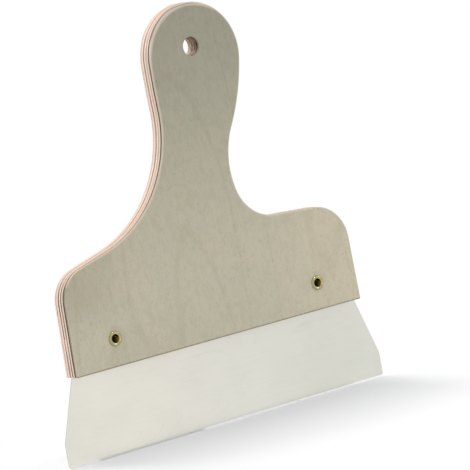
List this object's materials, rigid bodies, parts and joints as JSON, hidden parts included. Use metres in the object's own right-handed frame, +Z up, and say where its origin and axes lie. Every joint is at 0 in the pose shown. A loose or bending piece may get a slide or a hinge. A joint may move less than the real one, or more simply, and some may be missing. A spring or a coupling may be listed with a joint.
{
  "type": "taping knife",
  "caption": "Wide flared steel blade let into the lower edge of a plywood grip with a round head, a hanging hole and an off-centre neck, held by tubular rivets.",
  "frame": {"origin": "middle of the blade's width and of the plywood's thickness, level with the working edge", "axes": "+Z up from the working edge to the head, -Y out of the front face, +X to the right seen from the front"},
  "size_m": [0.25, 0.0134, 0.265],
  "materials": {
    "face_veneer": "sanded, clear varnish, fine upright grain",
    "long_veneer": "sanded edge, pale long grain",
    "cross_veneer": "sanded edge, darker end grain",
    "blade_steel": "satin ground",
    "rivet_brass": "satin, lightly worn"
  },
  "bodies": {
    "root": {"handle_ply_1_front_face": "face_veneer", "handle_ply_2_cross_band": "cross_veneer", "handle_ply_3_long_band": "long_veneer", "handle_ply_4_cross_band": "cross_veneer", "handle_ply_5_core": "long_veneer", "handle_ply_6_cross_band": "cross_veneer", "handle_ply_7_long_band": "long_veneer", "handle_ply_8_cross_band": "cross_veneer", "handle_ply_9_back_face": "face_veneer", "blade": "blade_steel", "rivet_left": "rivet_brass", "rivet_right": "rivet_brass"}
  },
  "joints": []
}
